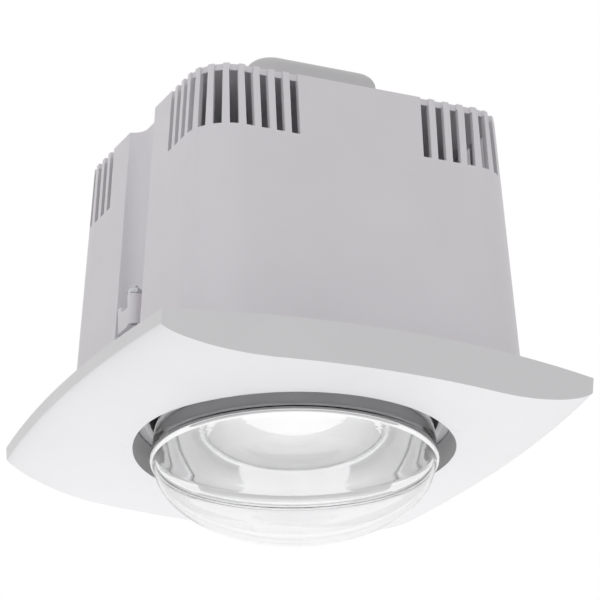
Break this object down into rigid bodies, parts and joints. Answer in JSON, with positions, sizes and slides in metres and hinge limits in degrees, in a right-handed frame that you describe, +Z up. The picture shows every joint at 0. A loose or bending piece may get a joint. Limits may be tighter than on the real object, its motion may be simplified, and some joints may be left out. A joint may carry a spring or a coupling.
{
  "type": "bathroom ceiling heater",
  "caption": "Recessed bathroom ceiling heater with an infrared lamp in a round opening, curved square fascia, vented housing and swing-out ceiling clamps.",
  "frame": {"origin": "lamp axis in the ceiling plane, where the fascia's back rim meets the ceiling's underside", "axes": "+Z up into the ceiling along the lamp axis, -Y to the front, +X to the right seen from the front"},
  "size_m": [0.2108, 0.2098, 0.2091],
  "materials": {
    "housing_plastic": "white moulded plastic, fine matt grain",
    "cover_plastic": "grey moulded plastic, fine matt grain",
    "fascia_plastic": "white moulded plastic, satin",
    "clamp_plastic": "white moulded plastic, satin",
    "nylon": "natural nylon, satin",
    "sheet_aluminium": "pressed sheet, soft sheen",
    "zinc_steel": "zinc plated",
    "spring_steel": "spring steel, smooth",
    "brass": "plain",
    "tungsten": "dark drawn wire",
    "ceramic": "unglazed white ceramic",
    "clear_glass": "clear and polished",
    "black_glass": "black, polished",
    "silver": "bright mirror layer",
    "grommet_rubber": "matt",
    "lead_insulation_brown": "satin",
    "lead_insulation_blue": "satin"
  },
  "bodies": {
    "housing": {"housing_shell": "housing_plastic", "heat_shield": "sheet_aluminium", "heat_shield_screw_front_left": "zinc_steel", "heat_shield_screw_front_right": "zinc_steel", "heat_shield_screw_back_left": "zinc_steel", "heat_shield_screw_back_right": "zinc_steel", "lampholder_body": "ceramic", "lampholder_screw_shell": "brass", "lampholder_contact_spring": "brass", "lampholder_strap": "zinc_steel", "lampholder_strap_screw_left": "zinc_steel", "lampholder_strap_screw_right": "zinc_steel", "lampholder_cover": "cover_plastic", "lampholder_cover_screw_1": "zinc_steel", "lampholder_cover_screw_2": "zinc_steel", "terminal_block": "nylon", "terminal_screw_1": "brass", "terminal_screw_2": "brass", "terminal_screw_3": "brass", "terminal_cover": "cover_plastic", "terminal_cover_screw_left": "zinc_steel", "terminal_cover_screw_right": "zinc_steel", "cable_grommet": "grommet_rubber", "lead_live": "lead_insulation_brown", "lead_neutral": "lead_insulation_blue"},
    "fascia": {"fascia_plate": "fascia_plastic", "fascia_clip_front_left": "spring_steel", "fascia_clip_front_right": "spring_steel", "fascia_clip_back_left": "spring_steel", "fascia_clip_back_right": "spring_steel"},
    "lamp_centre_contact": {"lamp_cap_contact": "zinc_steel"},
    "lamp": {"lamp_glass": "clear_glass", "lamp_reflector": "silver", "lamp_stem": "clear_glass", "lamp_lead_wire_left": "zinc_steel", "lamp_lead_wire_right": "zinc_steel", "lamp_filament": "tungsten", "lamp_cap_shell": "brass", "lamp_cap_insulator": "black_glass"},
    "left_clamp_screw": {"clamp_screw_left": "zinc_steel"},
    "left_clamp_nut": {"clamp_nut_left": "zinc_steel"},
    "left_clamp_jaw": {"clamp_jaw_left": "clamp_plastic"},
    "right_clamp_screw": {"clamp_screw_right": "zinc_steel"},
    "right_clamp_nut": {"clamp_nut_right": "zinc_steel"},
    "right_clamp_jaw": {"clamp_jaw_right": "clamp_plastic"}
  },
  "joints": [
    {"name": "fascia_pull", "type": "slide", "parent": "housing", "child": "fascia", "axis": [0, 0, -1], "range_m": [0, 0.06]},
    {"name": "lamp_travel", "type": "slide", "parent": "housing", "child": "lamp_centre_contact", "axis": [0, 0, -1], "range_m": [0, 0.01271]},
    {"name": "lamp_turn", "type": "hinge", "parent": "lamp_centre_contact", "child": "lamp", "pos_m": [0, 0, 0], "axis": [0, 0, -1], "range_deg": [0, 1260]},
    {"name": "left_clamp_screw_turn", "type": "hinge", "parent": "housing", "child": "left_clamp_screw", "pos_m": [-0.0746, 0, 0], "axis": [0, 0, 1], "range_deg": [0, 7200]},
    {"name": "left_clamp_travel", "type": "slide", "parent": "housing", "child": "left_clamp_nut", "axis": [0, 0, -1], "range_m": [0, 0.026]},
    {"name": "left_clamp_swing", "type": "hinge", "parent": "left_clamp_nut", "child": "left_clamp_jaw", "pos_m": [-0.0746, 0, 0.036], "axis": [0, 0, 1], "range_deg": [0, 90]},
    {"name": "right_clamp_screw_turn", "type": "hinge", "parent": "housing", "child": "right_clamp_screw", "pos_m": [0.0746, 0, 0], "axis": [0, 0, 1], "range_deg": [0, 7200]},
    {"name": "right_clamp_travel", "type": "slide", "parent": "housing", "child": "right_clamp_nut", "axis": [0, 0, -1], "range_m": [0, 0.026]},
    {"name": "right_clamp_swing", "type": "hinge", "parent": "right_clamp_nut", "child": "right_clamp_jaw", "pos_m": [0.0746, 0, 0.036], "axis": [0, 0, 1], "range_deg": [0, 90]}
  ],
  "couplings": [
    {"joint": "lamp_travel", "follows": "lamp_turn", "m_per_rad": 0.00057773},
    {"joint": "left_clamp_screw_turn", "follows": "left_clamp_travel", "rad_per_m": 4833.2},
    {"joint": "right_clamp_screw_turn", "follows": "right_clamp_travel", "rad_per_m": 4833.2}
  ]
}
